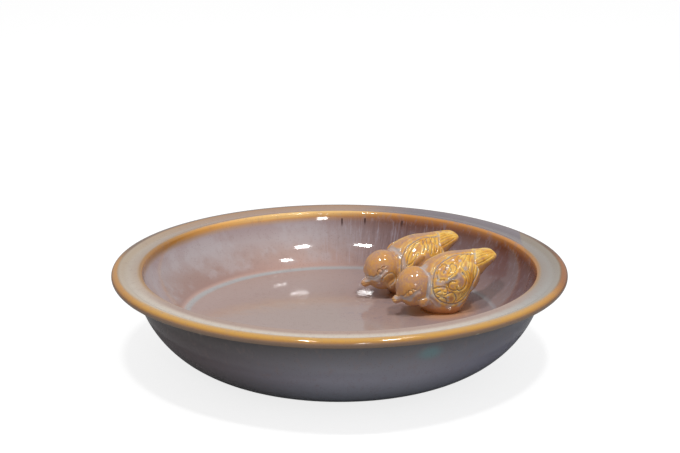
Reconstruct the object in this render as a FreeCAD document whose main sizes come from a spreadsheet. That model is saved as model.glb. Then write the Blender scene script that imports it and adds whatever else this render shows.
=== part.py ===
import FreeCAD, Part
import math
import os
import Sketcher

# Glazed stoneware bird bath, in millimetres, +Z up, origin at the centre of the face it stands on.
# A double-walled slip-cast basin carries two small cast birds, each bonded to its floor with slip.
# The birds' own frame: X forward to the beak, Y to the bird's left, Z up from the basin's floor.

DIMENSIONS = (
    ("bath_diameter", 330.0, "over the rolled lip"),
    ("lip_height", 68.3, "centre of the rolled lip above the foot"),
    ("lip_roll", 3.3, "radius of the rolled lip"),
    ("lip_crown", 13.0, "radius of the crown between the lip and the flange"),
    ("flange_outer", 154.6, "radius where the flat of the flange meets the crown"),
    ("flange_inner", 145.2, "radius where the flat of the flange meets the inner ridge"),
    ("flange_outer_height", 69.9, "height of the flange's flat at the crown"),
    ("flange_inner_height", 71.2, "height of the flange's flat at the ridge"),
    ("flange_hollow", 24.0, "radius of the shallow hollow along the flange"),
    ("ridge_roll", 2.4, "radius of the rounded inner ridge"),
    ("inner_top", 142.5, "radius of the inner wall under the ridge"),
    ("inner_top_height", 69.0, "height of the inner wall's upper end"),
    ("inner_wall", 54.0, "radius of curvature of the inner wall"),
    ("floor_edge", 113.2, "radius where the inner wall meets the floor"),
    ("floor_height", 31.0, "lowest point of the floor above the foot"),
    ("floor_dish", 2600.0, "spherical radius of the dished floor"),
    ("floor_corner", 9.0, "fillet between the floor and the inner wall"),
    ("outer_wall", 76.0, "radius of curvature of the outer wall"),
    ("outer_centre", 73.4, "radius at which the outer wall's arc is centred"),
    ("outer_centre_height", 75.2, "height at which the outer wall's arc is centred"),
    ("outer_top_height", 62.6, "height where the outer wall meets the flange"),
    ("flange_root", 4.0, "fillet under the flange"),
    ("shell", 6.0, "thickness of the cast wall"),
    ("cavity_top", 43.0, "height where the two walls join"),
    ("cavity_corner", 112.9, "radius of the cavity's corner under the floor's edge"),
    ("cavity_corner_height", 27.5, "height of that corner"),
    ("foot_inner", 70.0, "radius of the hollow inside the foot ring"),
    ("foot_slope", 2.0, "width of the slope inside the foot ring"),
    ("foot_recess", 2.5, "depth of the hollow inside the foot ring"),
    ("drain_hole", 7.0, "diameter of the casting hole in the foot"),
    ("head_forward", 25.6, "centre of the head ahead of the bird's middle"),
    ("head_height", 20.1, "centre of the head above the floor"),
    ("head_length", 14.6, "half length of the head"),
    ("head_width", 13.6, "half width of the head"),
    ("head_depth", 15.1, "half depth of the head"),
    ("beak_start", 9.6, "root of the beak ahead of the centre of the head"),
    ("beak_dip", 30.0, "degrees that the beak points below level"),
    ("upper_beak_root", 4.5, "radius of the upper beak at the face"),
    ("upper_beak_tip", 1.8, "radius of the upper beak's blunt tip"),
    ("upper_beak_length", 9.5, "length of the upper beak"),
    ("upper_beak_below", 4.5, "root of the upper beak below the centre of the head"),
    ("lower_beak_root", 3.6, "radius of the lower beak at the face"),
    ("lower_beak_tip", 1.4, "radius of the lower beak's blunt tip"),
    ("lower_beak_length", 7.6, "length of the lower beak"),
    ("lower_beak_below", 6.7, "root of the lower beak below the centre of the head"),
    ("eye_radius", 1.9, "radius of the eye bead"),
    ("eye_forward", 33.2, "eye bead ahead of the bird's middle"),
    ("eye_side", 10.9, "eye bead from the bird's midline"),
    ("eye_height", 18.6, "eye bead above the floor"),
    ("wing_side", 13.0, "centre of the wing's layers from the midline"),
    ("wing_rise", 24.0, "degrees that the wing rises towards the tail"),
    ("scroll_thickness", 1.3, "half thickness of the scroll lobes on the wings"),
    ("cheek_length", 4.6, "half length of the cheek's feather lobe"),
    ("cheek_depth", 5.3, "half depth of the cheek's feather lobe"),
    ("cheek_thickness", 3.7, "half thickness of the cheek's feather lobe"),
    ("cheek_behind", 2.5, "cheek's lobe behind the centre of the head"),
    ("cheek_inward", 3.4, "cheek's lobe inside the side of the head"),
    ("cheek_below", 8.2, "cheek's lobe below the centre of the head"),
    ("cheek_turn", -35.0, "degrees that the cheek's lobe turns down at the front"),
    ("tail_groove", 0.9, "radius of the grooves that part the tail's feathers"),
    ("tail_groove_length", 20.0, "length of those grooves"),
    ("tail_groove_behind", 4.5, "start of those grooves behind the tail's root"),
    ("tail_groove_above", 1.2, "middle of those grooves above the point where the tail fans out"),
    ("bond_forward", 2.2, "middle of the slip bond ahead of the bird's middle"),
    ("bond_length", 16.0, "half length of the slip bond on the floor"),
    ("bond_width", 15.7, "half width of the slip bond on the floor"),
    ("bond_height", 2.0, "height of the slip bond against the bird"),
    ("front_bird_x", 78.9, "middle of the front bird, across"),
    ("front_bird_y", 19.3, "middle of the front bird, away from the front"),
    ("front_bird_heading", 202.7, "degrees from +X to the front bird's beak"),
    ("rear_bird_x", 54.7, "middle of the rear bird, across"),
    ("rear_bird_y", 62.6, "middle of the rear bird, away from the front"),
    ("rear_bird_heading", 209.2, "degrees from +X to the rear bird's beak"),
)

# Sections of the bird's trunk: name, place along X, half width, top and bottom.
TRUNK_SECTIONS = (
    ("rump", -31.0, 7.4, 42.2, 27.2),
    ("flank", -24.0, 10.6, 42.7, 20.9),
    ("hip", -14.0, 16.6, 42.7, 8.0),
    ("girth", -1.0, 20.3, 42.6, -6.4),
    ("shoulder", 10.0, 18.6, 39.6, -4.4),
    ("breast", 18.5, 14.4, 33.8, 1.0),
    ("throat", 26.0, 8.0, 28.0, 8.0),
)

# Sections of the tail: name, place along X, half width, top and bottom.
TAIL_SECTIONS = (
    ("tail_root", -22.0, 10.0, 41.8, 22.2),
    ("tail_middle", -30.0, 8.8, 42.4, 27.6),
    ("tail_fan", -36.3, 8.0, 41.2, 32.8),
    ("tail_tip", -38.0, 6.4, 39.6, 35.2),
)

# Degrees from straight back at which the grooves part the tail's feathers.
TAIL_GROOVES = (-26, -9, 9, 26)

# Layers of the folded wing, largest and lowest first: name, centre ahead of the bird's middle and
# above the floor, half length, half depth and half thickness.
WING_LAYERS = (
    ("wing_quills", -4.6, 25.2, 16.6, 13.0, 8.0),
    ("wing_flights", -1.6, 24.2, 14.6, 12.4, 8.6),
    ("wing_coverts", 1.4, 23.0, 11.8, 11.2, 9.2),
)

# Scroll lobes on the wing's coverts: name, centre ahead and above, half length, half depth, turn.
WING_SCROLLS = (
    ("scroll_upper", 5.6, 29.4, 5.8, 3.2, 35.0),
    ("scroll_rear", -4.6, 24.0, 3.6, 6.0, -12.0),
    ("scroll_lower", 7.6, 17.4, 5.2, 3.4, -28.0),
)

doc = FreeCAD.newDocument("bird_bath")
sheet = doc.addObject("Spreadsheet::Sheet", "dims")


def fill_sheet():
    """Write the driving dimensions, one row each, and name them."""
    rows = list(DIMENSIONS)
    for name, along, half_width, top, bottom in TRUNK_SECTIONS + TAIL_SECTIONS:
        rows.append((name + "_along", along, "place of the section along the bird"))
        rows.append((name + "_width", half_width, "half width of the section"))
        rows.append((name + "_top", top, "top of the section"))
        rows.append((name + "_bottom", bottom, "bottom of the section"))
    for name, ahead, above, length, depth, thickness in WING_LAYERS:
        rows.append((name + "_ahead", ahead, "centre of the wing's layer ahead"))
        rows.append((name + "_above", above, "centre of the wing's layer above the floor"))
        rows.append((name + "_length", length, "half length of the wing's layer"))
        rows.append((name + "_depth", depth, "half depth of the wing's layer"))
        rows.append((name + "_thickness", thickness, "half thickness of the wing's layer"))
    for name, ahead, above, length, depth, turn in WING_SCROLLS:
        rows.append((name + "_ahead", ahead, "centre of the scroll lobe ahead"))
        rows.append((name + "_above", above, "centre of the scroll lobe above the floor"))
        rows.append((name + "_length", length, "half length of the scroll lobe"))
        rows.append((name + "_depth", depth, "half depth of the scroll lobe"))
        rows.append((name + "_turn", turn, "degrees that the scroll lobe is turned"))
    for row, (alias, value, note) in enumerate(rows, start=1):
        sheet.set(f"A{row}", note)
        sheet.set(f"B{row}", str(value))
        sheet.setAlias(f"B{row}", alias)
    doc.recompute()


def value_of(expression):
    """Number that an expression on the sheet gives."""
    return float(sheet.evalExpression(expression))


def bind(feature, **expressions):
    """Bind properties to expressions; two underscores in a name stand for a dot."""
    for name, expression in expressions.items():
        feature.setExpression(name.replace("__", "."), expression)


def origin_plane(body, role):
    """Origin plane of a body, by its role."""
    return next(item for item in body.Origin.OriginFeatures if item.Role == role)


def arc_between(start, end, radius, turn):
    """Arc of at most half a turn from start to end, turning ccw or cw."""
    chord = end - start
    reach = math.sqrt(max(radius**2 - chord.Length**2 / 4, 0))
    side = FreeCAD.Vector(-chord.y, chord.x, 0).normalize()
    centre = (start + end) / 2 + side * (reach if turn == "ccw" else -reach)
    first, last = (start, end) if turn == "ccw" else (end, start)
    angles = [math.atan2(point.y - centre.y, point.x - centre.x) for point in (first, last)]
    circle = Part.Circle(centre, FreeCAD.Vector(0, 0, 1), radius)
    return Part.ArcOfCircle(circle, angles[0], angles[1])


def outline(body, name, corners, edges):
    """Closed sketch on the body's XZ plane.

    corners are pairs of expressions (radius, height); edge number n runs from corner n to the
    next one and is None for a straight edge or (radius expression, "ccw" or "cw") for an arc.
    """
    sketch = body.newObject("Sketcher::SketchObject", name)
    sketch.AttachmentSupport = (origin_plane(body, "XZ_Plane"), [""])
    sketch.MapMode = "FlatFace"
    points = [FreeCAD.Vector(value_of(x), value_of(y), 0) for x, y in corners]
    starts = []
    for number, edge in enumerate(edges):
        start = points[number]
        end = points[(number + 1) % len(points)]
        if edge is None:
            sketch.addGeometry(Part.LineSegment(start, end), False)
            starts.append(1)
        else:
            sketch.addGeometry(arc_between(start, end, value_of(edge[0]), edge[1]), False)
            starts.append(1 if edge[1] == "ccw" else 2)
    for number in range(len(edges)):
        following = (number + 1) % len(edges)
        sketch.addConstraint(
            Sketcher.Constraint("Coincident", number, 3 - starts[number], following, starts[following])
        )
    for number, (corner, point) in enumerate(zip(corners, points)):
        place_corner(sketch, number, starts[number], corner, point)
    for number, edge in enumerate(edges):
        if edge is not None:
            constraint = Sketcher.Constraint("Radius", number, value_of(edge[0]))
            name_constraint(sketch, constraint, f"edge_{number}_radius", edge[0])
    return sketch


def name_constraint(sketch, constraint, name, expression):
    """Add a constraint, name it and bind it to the sheet."""
    index = sketch.addConstraint(constraint)
    sketch.renameConstraint(index, name)
    sketch.setExpression("Constraints." + name, expression)


def place_corner(sketch, number, end, corner, point):
    """Hold a corner at its radius and height; a zero puts it on the axis."""
    origin = (-1, 1)
    for kind, axis, expression, value in (
        ("DistanceX", -2, corner[0], point.x),
        ("DistanceY", -1, corner[1], point.y),
    ):
        if value == 0:
            sketch.addConstraint(Sketcher.Constraint("PointOnObject", number, end, axis))
        else:
            constraint = Sketcher.Constraint(kind, *origin, number, end, value)
            name_constraint(sketch, constraint, f"corner_{number}_{kind[-1]}", expression)


def turn_profile(body, kind, name, sketch):
    """Full turn of a profile about the body's Z axis."""
    feature = body.newObject(kind, name)
    feature.Profile = sketch
    feature.ReferenceAxis = (sketch, ["V_Axis"])
    feature.Angle = 360
    doc.recompute()
    return feature


def ring_edges(feature, radius, height):
    """Names of the circular edges at a radius and height."""
    names = []
    for number, edge in enumerate(feature.Shape.Edges, start=1):
        if edge.Degenerated or not isinstance(edge.Curve, Part.Circle):
            continue
        at_height = abs(edge.Curve.Center.z - height) < 0.05
        if at_height and abs(edge.Curve.Radius - radius) < 0.05:
            names.append(f"Edge{number}")
    return names


def round_ring(body, name, base, radius, height, fillet):
    """Fillet the circular edge at a radius and height."""
    feature = body.newObject("PartDesign::Fillet", name)
    feature.Base = (base, ring_edges(base, radius, height))
    feature.setExpression("Radius", fillet)
    doc.recompute()
    return feature


def make_basin():
    """Double-walled basin: turned outline, turned cavity, drain hole and fillets."""
    body = doc.addObject("PartDesign::Body", "basin_body")
    foot_outer = "dims.outer_centre + sqrt(dims.outer_wall^2 - dims.outer_centre_height^2)"
    outer_top = (
        "dims.outer_centre + sqrt(dims.outer_wall^2"
        " - (dims.outer_centre_height - dims.outer_top_height)^2)"
    )
    lip_middle = "dims.bath_diameter / 2 - dims.lip_roll"
    floor_edge_height = (
        "dims.floor_height + dims.floor_dish - sqrt(dims.floor_dish^2 - dims.floor_edge^2)"
    )
    corners = (
        ("0", "dims.foot_recess"),
        ("dims.foot_inner", "dims.foot_recess"),
        ("dims.foot_inner + dims.foot_slope", "0"),
        (foot_outer, "0"),
        (outer_top, "dims.outer_top_height"),
        (lip_middle, "dims.lip_height - dims.lip_roll"),
        (lip_middle, "dims.lip_height + dims.lip_roll"),
        ("dims.flange_outer", "dims.flange_outer_height"),
        ("dims.flange_inner", "dims.flange_inner_height"),
        ("dims.inner_top", "dims.inner_top_height"),
        ("dims.floor_edge", floor_edge_height),
        ("0", "dims.floor_height"),
    )
    edges = (
        None,
        None,
        None,
        ("dims.outer_wall", "ccw"),
        None,
        ("dims.lip_roll", "ccw"),
        ("dims.lip_crown", "ccw"),
        ("dims.flange_hollow", "cw"),
        ("dims.ridge_roll", "ccw"),
        ("dims.inner_wall", "cw"),
        ("dims.floor_dish", "cw"),
        None,
    )
    sketch = outline(body, "basin_outline", corners, edges)
    solid = turn_profile(body, "PartDesign::Revolution", "turned_basin", sketch)

    cavity_floor = "dims.foot_recess + dims.shell"
    cavity_outer = (
        "dims.outer_centre + sqrt((dims.outer_wall - dims.shell)^2"
        " - (dims.outer_centre_height - {})^2)"
    )
    cavity_corners = (
        ("0", cavity_floor),
        (cavity_outer.format(cavity_floor.replace("+", "-")), cavity_floor),
        (cavity_outer.format("dims.cavity_top"), "dims.cavity_top"),
        ("dims.cavity_corner", "dims.cavity_corner_height"),
        ("0", "dims.floor_height - dims.shell"),
    )
    cavity_edges = (
        None,
        ("dims.outer_wall - dims.shell", "ccw"),
        ("dims.inner_wall + dims.shell", "cw"),
        ("dims.floor_dish + dims.shell", "cw"),
        None,
    )
    cavity = outline(body, "cavity_outline", cavity_corners, cavity_edges)
    hollow = turn_profile(body, "PartDesign::Groove", "cast_cavity", cavity)

    circle = body.newObject("Sketcher::SketchObject", "drain_outline")
    circle.AttachmentSupport = (origin_plane(body, "XY_Plane"), [""])
    circle.MapMode = "FlatFace"
    radius = value_of("dims.drain_hole / 2")
    circle.addGeometry(Part.Circle(FreeCAD.Vector(0, 0, 0), FreeCAD.Vector(0, 0, 1), radius), False)
    circle.addConstraint(Sketcher.Constraint("Coincident", 0, 3, -1, 1))
    constraint = Sketcher.Constraint("Radius", 0, radius)
    name_constraint(circle, constraint, "drain_radius", "dims.drain_hole / 2")
    drain = body.newObject("PartDesign::Pocket", "drain_hole")
    drain.Profile = circle
    drain.Reversed = True
    drain.setExpression("Length", "dims.foot_recess + dims.shell + 1")
    doc.recompute()
    if not drain.Shape.Volume < hollow.Shape.Volume < solid.Shape.Volume:
        raise RuntimeError("the cavity or the drain hole cut nothing")

    corner = round_ring(
        body, "floor_fillet", drain,
        value_of("dims.floor_edge"), value_of(floor_edge_height), "dims.floor_corner",
    )
    root = round_ring(
        body, "flange_fillet", corner,
        value_of(outer_top), value_of("dims.outer_top_height"), "dims.flange_root",
    )
    body.Tip = root
    return body


def section(name, prefix):
    """Elliptical section of the bird, upright across its length."""
    ellipse = doc.addObject("Part::Ellipse", name)
    half_depth = f"(dims.{prefix}_top - dims.{prefix}_bottom) / 2"
    half_width = f"dims.{prefix}_width"
    upright = value_of(half_depth) >= value_of(half_width)
    bind(
        ellipse,
        MajorRadius=half_depth if upright else half_width,
        MinorRadius=half_width if upright else half_depth,
    )
    facing = FreeCAD.Rotation(FreeCAD.Vector(0, 1, 0), 90)
    if not upright:
        facing = facing * FreeCAD.Rotation(FreeCAD.Vector(0, 0, 1), 90)
    ellipse.Placement = FreeCAD.Placement(FreeCAD.Vector(0, 0, 0), facing)
    bind(
        ellipse,
        Placement__Base__x=f"dims.{prefix}_along",
        Placement__Base__z=f"(dims.{prefix}_top + dims.{prefix}_bottom) / 2",
    )
    return ellipse


def loft(name, prefixes):
    """Smooth solid through a row of elliptical sections."""
    feature = doc.addObject("Part::Loft", name)
    feature.Sections = [section(prefix + "_section", prefix) for prefix in prefixes]
    feature.Solid = True
    feature.Ruled = False
    return feature


def make_beak(name):
    """Blunt cone that leaves the face forwards and down."""
    cone = doc.addObject("Part::Cone", name)
    cone.Placement.Rotation = FreeCAD.Rotation(FreeCAD.Vector(0, 1, 0), 1)
    bind(
        cone,
        Radius1=f"dims.{name}_root",
        Radius2=f"dims.{name}_tip",
        Height=f"dims.{name}_length",
        Placement__Rotation__Angle="90 + dims.beak_dip",
        Placement__Base__x="dims.head_forward + dims.beak_start",
        Placement__Base__z=f"dims.head_height - dims.{name}_below",
    )
    return cone


def side_ellipsoid(name, length, depth, thickness, ahead, aside, above, turn):
    """Ellipsoid on one side of the bird, turned about the bird's cross axis."""
    form = doc.addObject("Part::Ellipsoid", name)
    form.Placement.Rotation = FreeCAD.Rotation(FreeCAD.Vector(0, 1, 0), 1)
    bind(
        form,
        Radius1=depth,
        Radius2=length,
        Radius3=thickness,
        Placement__Base__x=ahead,
        Placement__Base__y=aside,
        Placement__Base__z=above,
        Placement__Rotation__Angle=turn,
    )
    return form


def make_side_forms(side):
    """Layered wing with its scrolls, cheek and eye bead: side is 1 on the left, -1 on the right."""
    suffix = "left" if side > 0 else "right"
    forms = []
    for row in WING_LAYERS:
        prefix = "dims." + row[0]
        forms.append(side_ellipsoid(
            f"{row[0]}_{suffix}", prefix + "_length", prefix + "_depth", prefix + "_thickness",
            prefix + "_ahead", f"{side} * dims.wing_side", prefix + "_above", "dims.wing_rise",
        ))
    for row in WING_SCROLLS:
        prefix = "dims." + row[0]
        # A lobe is a thin lens whose middle lies on the coverts' outer surface.
        covert = "dims.wing_coverts"
        outward = (
            f"{side} * (dims.wing_side + {covert}_thickness"
            f" * sqrt(1 - (({prefix}_ahead - {covert}_ahead) / {covert}_length)^2"
            f" - (({prefix}_above - {covert}_above) / {covert}_depth)^2))"
        )
        forms.append(side_ellipsoid(
            f"{row[0]}_{suffix}", prefix + "_length", prefix + "_depth", "dims.scroll_thickness",
            prefix + "_ahead", outward, prefix + "_above", prefix + "_turn",
        ))
    forms.append(side_ellipsoid(
        "cheek_" + suffix, "dims.cheek_length", "dims.cheek_depth", "dims.cheek_thickness",
        "dims.head_forward - dims.cheek_behind", f"{side} * (dims.head_width - dims.cheek_inward)",
        "dims.head_height - dims.cheek_below", "dims.cheek_turn",
    ))
    eye = doc.addObject("Part::Sphere", "eye_" + suffix)
    bind(
        eye,
        Radius="dims.eye_radius",
        Placement__Base__x="dims.eye_forward",
        Placement__Base__y=f"{side} * dims.eye_side",
        Placement__Base__z="dims.eye_height",
    )
    return forms + [eye]


def groove_tail(whole):
    """Part the tail's feathers with grooves that fan out over its back."""
    for number, spread in enumerate(TAIL_GROOVES):
        groove = doc.addObject("Part::Cylinder", f"tail_groove_{number}")
        aim = FreeCAD.Rotation(FreeCAD.Vector(0, 0, 1), 180 + spread)
        aim = aim * FreeCAD.Rotation(FreeCAD.Vector(0, 1, 0), 90)
        groove.Placement = FreeCAD.Placement(FreeCAD.Vector(0, 0, 0), aim)
        bind(
            groove,
            Radius="dims.tail_groove",
            Height="dims.tail_groove_length",
            Placement__Base__x="dims.tail_root_along - dims.tail_groove_behind",
            Placement__Base__z="dims.tail_fan_top + dims.tail_groove_above",
        )
        cut = doc.addObject("Part::Cut", f"tail_parted_{number}")
        cut.Base = whole
        cut.Tool = groove
        doc.recompute()
        if len(cut.Shape.Solids) != 1 or cut.Shape.Volume >= whole.Shape.Volume:
            raise RuntimeError("a tail groove cuts nothing")
        whole = cut
    return whole


def make_casting(trunk):
    """Drinking bird, as it leaves its mould, in its own frame."""
    tail = loft("tail", [row[0] for row in TAIL_SECTIONS])
    head = doc.addObject("Part::Ellipsoid", "head")
    bind(
        head,
        Radius1="dims.head_depth",
        Radius2="dims.head_length",
        Radius3="dims.head_width",
        Placement__Base__x="dims.head_forward",
        Placement__Base__z="dims.head_height",
    )
    forms = [trunk, tail, head, make_beak("upper_beak"), make_beak("lower_beak")]
    for side in (1, -1):
        forms.extend(make_side_forms(side))
    return groove_tail(fuse_in_turn("bird_casting", forms))


def fuse_in_turn(name, forms):
    """Fuse forms one after another, and see that each one joins what is there."""
    whole = forms[0]
    for number, form in enumerate(forms[1:], start=1):
        pair = doc.addObject("Part::Fuse", f"{name}_{number}")
        pair.Base = whole
        pair.Tool = form
        doc.recompute()
        if len(pair.Shape.Solids) != 1 or pair.Shape.Volume <= whole.Shape.Volume:
            raise RuntimeError(f"{form.Name} doesn't join the bird")
        whole = pair
    return whole


def make_floor_sphere():
    """Sphere whose lower cap is the dished floor; what stands on the floor is cut to it."""
    sphere = doc.addObject("Part::Sphere", "floor_sphere")
    bind(sphere, Radius="dims.floor_dish", Placement__Base__z="dims.floor_height + dims.floor_dish")
    return sphere


def place(copy, prefix):
    """Stand a bird's form on the floor, turned to its heading."""
    copy.Placement.Rotation = FreeCAD.Rotation(FreeCAD.Vector(0, 0, 1), 1)
    across = f"dims.{prefix}_x"
    away = f"dims.{prefix}_y"
    bind(
        copy,
        Placement__Base__x=across,
        Placement__Base__y=away,
        Placement__Base__z=(
            "dims.floor_height + dims.floor_dish"
            f" - sqrt(dims.floor_dish^2 - {across}^2 - {away}^2)"
        ),
        Placement__Rotation__Angle=f"dims.{prefix}_heading",
    )


def make_bond_form(trunk):
    """Low oval collar of slip round the foot of a bird, in the bird's own frame."""
    # The mound is the cap of an ellipsoid whose centre lies three fifths of its own height under
    # the floor, so its half length and width there are four fifths of the ellipsoid's.
    mound = doc.addObject("Part::Ellipsoid", "bond_mound")
    bind(
        mound,
        Radius1="2.5 * dims.bond_height",
        Radius2="1.25 * dims.bond_length",
        Radius3="1.25 * dims.bond_width",
        Placement__Base__x="dims.bond_forward",
        Placement__Base__z="-1.5 * dims.bond_height",
    )
    collar = doc.addObject("Part::Cut", "bond_collar")
    collar.Base = mound
    collar.Tool = trunk
    collar.Refine = False
    return collar


def seat(form, prefix, suffix, floor_sphere):
    """Stand a form at the place of one bird and cut its underside to the dished floor."""
    placed = doc.addObject("Part::Compound", f"{prefix}{suffix}_placed")
    placed.Links = [form]
    place(placed, prefix)
    seated = doc.addObject("Part::Common", f"{prefix}{suffix}_solid")
    seated.Base = placed
    seated.Tool = floor_sphere
    seated.Refine = False
    return seated


def check_document(pieces):
    """Stop on any failed feature and on any piece that isn't one valid solid."""
    for item in doc.Objects:
        if "Invalid" in item.State or "Error" in item.State:
            raise RuntimeError(f"{item.Name} failed: {item.State}")
    for name, piece in pieces.items():
        shape = piece.Shape
        if shape.isNull() or not shape.isValid() or len(shape.Solids) != 1:
            raise RuntimeError(f"{name} is not one valid solid")
        box = shape.BoundBox
        print(f"{name}: {shape.Volume / 1000:.1f} cm3, z {box.ZMin:.2f} to {box.ZMax:.2f}")


fill_sheet()
basin = make_basin()
trunk = loft("trunk", [row[0] for row in TRUNK_SECTIONS])
casting = make_casting(trunk)
bond_form = make_bond_form(trunk)
floor_sphere = make_floor_sphere()
PIECES = {"basin": basin}
for bird_name in ("front_bird", "rear_bird"):
    PIECES[bird_name] = seat(casting, bird_name, "", floor_sphere)
    PIECES[bird_name + "_bond"] = seat(bond_form, bird_name, "_bond", floor_sphere)
doc.recompute()
for name, piece in PIECES.items():
    piece.Label = name
doc.recompute()
check_document(PIECES)
os.makedirs("parts", exist_ok=True)
for name, piece in PIECES.items():
    piece.Shape.exportStep(f"parts/{name}.step")
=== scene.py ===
import math

import bmesh
import bpy
from mathutils import Matrix, Vector
from mathutils.bvhtree import BVHTree
from mathutils.kdtree import KDTree


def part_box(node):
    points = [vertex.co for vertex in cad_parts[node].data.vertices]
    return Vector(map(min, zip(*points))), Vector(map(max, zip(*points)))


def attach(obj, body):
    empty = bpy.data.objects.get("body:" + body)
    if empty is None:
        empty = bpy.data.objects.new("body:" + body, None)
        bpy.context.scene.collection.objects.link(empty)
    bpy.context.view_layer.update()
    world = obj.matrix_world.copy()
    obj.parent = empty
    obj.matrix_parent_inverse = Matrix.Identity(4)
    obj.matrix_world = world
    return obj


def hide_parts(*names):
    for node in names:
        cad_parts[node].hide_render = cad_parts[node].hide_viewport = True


# Glazed stoneware bird bath: a spun basin with two small cast birds stuck to its floor.
# Lengths are in metres, and MM turns the maker's millimetres into them.

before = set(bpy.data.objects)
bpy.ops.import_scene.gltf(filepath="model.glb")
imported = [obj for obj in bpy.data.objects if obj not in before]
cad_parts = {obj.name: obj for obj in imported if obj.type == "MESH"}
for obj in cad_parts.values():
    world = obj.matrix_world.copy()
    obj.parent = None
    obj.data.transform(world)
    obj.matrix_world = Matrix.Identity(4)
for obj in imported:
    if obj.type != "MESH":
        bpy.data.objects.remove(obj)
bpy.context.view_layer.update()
MM = 0.001

RIM_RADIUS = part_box("basin")[1][0]
LIP_ROLL = 3.3 * MM
LIP_HEIGHT = 68.3 * MM
FLOOR_HEIGHT = 31.0 * MM
FLOOR_DISH = 2600 * MM
SHELL = 6.0 * MM

# Each bird stands with its middle a little behind the middle of its slip bond.
BOND_FORWARD = 2.2 * MM
HEADINGS = {"front_bird": 202.7, "rear_bird": 209.2}


# ---------------------------------------------------------------- small node tools

def srgb(red, green, blue):
    """Linear colour from the 0 to 255 values of a colour chart."""
    linear = []
    for channel in (red, green, blue):
        value = channel / 255
        linear.append(value / 12.92 if value < 0.04045 else ((value + 0.055) / 1.055) ** 2.4)
    return (*linear, 1.0)


def add_node(tree, kind, inputs=None, **settings):
    """Node of one kind, with its settings, and its inputs set to values or linked to sockets."""
    made = tree.nodes.new("ShaderNode" + kind)
    for name, value in settings.items():
        setattr(made, name, value)
    for name, value in (inputs or {}).items():
        if isinstance(value, bpy.types.NodeSocket):
            tree.links.new(value, made.inputs[name])
        else:
            made.inputs[name].default_value = value
    return made


def calc(tree, operation, *values):
    """Result of one arithmetic step on sockets or numbers."""
    return add_node(tree, "Math", dict(enumerate(values)), operation=operation).outputs[0]


def product(tree, first, *others):
    """Product of masks and numbers."""
    for other in others:
        first = calc(tree, "MULTIPLY", first, other)
    return first


def fade(tree, value, start, end):
    """Mask that runs smoothly from 0 at start to 1 at end."""
    inputs = {"Value": value, "From Min": start, "From Max": end}
    made = add_node(tree, "MapRange", inputs, interpolation_type="SMOOTHSTEP")
    return made.outputs["Result"]


def mix(tree, factor, first, second, blend="MIX"):
    """First colour where the factor is 0, second where it is 1."""
    inputs = {"Factor": factor, 6: first, 7: second}
    made = add_node(tree, "Mix", inputs, data_type="RGBA", blend_type=blend)
    return made.outputs[2]


def tinted(tree, factor, colour, tint):
    """Colour multiplied by a tint where the factor is 1."""
    return mix(tree, factor, colour, (*tint, 1.0), "MULTIPLY")


def ramp(tree, factor, stops):
    """Colour along a scale, from (place, colour) stops in order."""
    made = add_node(tree, "ValToRGB", {"Fac": factor})
    scale = made.color_ramp
    while len(scale.elements) < len(stops):
        scale.elements.new(1.0)
    for element, (place, colour) in zip(scale.elements, stops):
        element.position = place
        element.color = colour
    return made.outputs["Color"]


def noise(tree, vector, scale, detail=2.0, roughness=0.5):
    """Noise value about 0.5 over a vector."""
    inputs = {"Vector": vector, "Scale": scale, "Detail": detail, "Roughness": roughness}
    return add_node(tree, "TexNoise", inputs).outputs["Fac"]


def stretched(tree, vector, scale):
    """Vector scaled differently along its three axes."""
    return add_node(tree, "Mapping", {"Vector": vector, "Scale": scale}).outputs["Vector"]


# ---------------------------------------------------------------- shared glaze effects

def new_group(name, inputs, outputs):
    """Empty node group with float inputs and the outputs named, and its own input node."""
    group = bpy.data.node_groups.new(name, "ShaderNodeTree")
    for label, value in inputs:
        socket = group.interface.new_socket(label, in_out="INPUT", socket_type="NodeSocketFloat")
        socket.default_value = value
    for label in outputs:
        group.interface.new_socket(label, in_out="OUTPUT", socket_type="NodeSocketFloat")
    entry = group.nodes.new("NodeGroupInput")
    leave = group.nodes.new("NodeGroupOutput")
    return group, entry, leave


def make_speckle_group():
    """Iron specks and tiny crystals in a glaze: a mask that is 1 on a speck."""
    group, entry, leave = new_group("iron_speckle", (("Spacing", 1.1), ("Share", 0.5)), ("Mask",))
    place = add_node(group, "TexCoord").outputs["Object"]
    scale = calc(group, "DIVIDE", 1.0 / MM, entry.outputs["Spacing"])
    cells = add_node(group, "TexVoronoi", {"Vector": place, "Scale": scale})
    centre = fade(group, cells.outputs["Distance"], 0.38, 0.12)
    picked = add_node(group, "SeparateColor", {"Color": cells.outputs["Color"]}).outputs[0]
    kept = calc(group, "LESS_THAN", picked, entry.outputs["Share"])
    group.links.new(product(group, centre, kept), leave.inputs["Mask"])
    return group


def make_skin_group():
    """Skin of a fired glaze: slow swells, fine orange peel, and a mask for cloudy patches."""
    group, entry, leave = new_group("glaze_skin", (("Swell", 9.0), ("Peel", 0.9)),
                                    ("Height", "Cloud"))
    place = add_node(group, "TexCoord").outputs["Object"]
    swell = noise(group, place, calc(group, "DIVIDE", 1.0 / MM, entry.outputs["Swell"]), 1.0)
    peel = noise(group, place, calc(group, "DIVIDE", 1.0 / MM, entry.outputs["Peel"]), 2.0)
    height = calc(group, "MULTIPLY_ADD", peel, 0.12, swell)
    cloud = noise(group, place, 1.0 / (26.0 * MM), 4.0, 0.6)
    group.links.new(height, leave.inputs["Height"])
    group.links.new(cloud, leave.inputs["Cloud"])
    return group


SPECKLE = make_speckle_group()
SKIN = make_skin_group()


def use_group(tree, group, **values):
    """Group placed in a material with its own values."""
    made = tree.nodes.new("ShaderNodeGroup")
    made.node_tree = group
    for name, value in values.items():
        made.inputs[name].default_value = value
    return made.outputs


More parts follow.
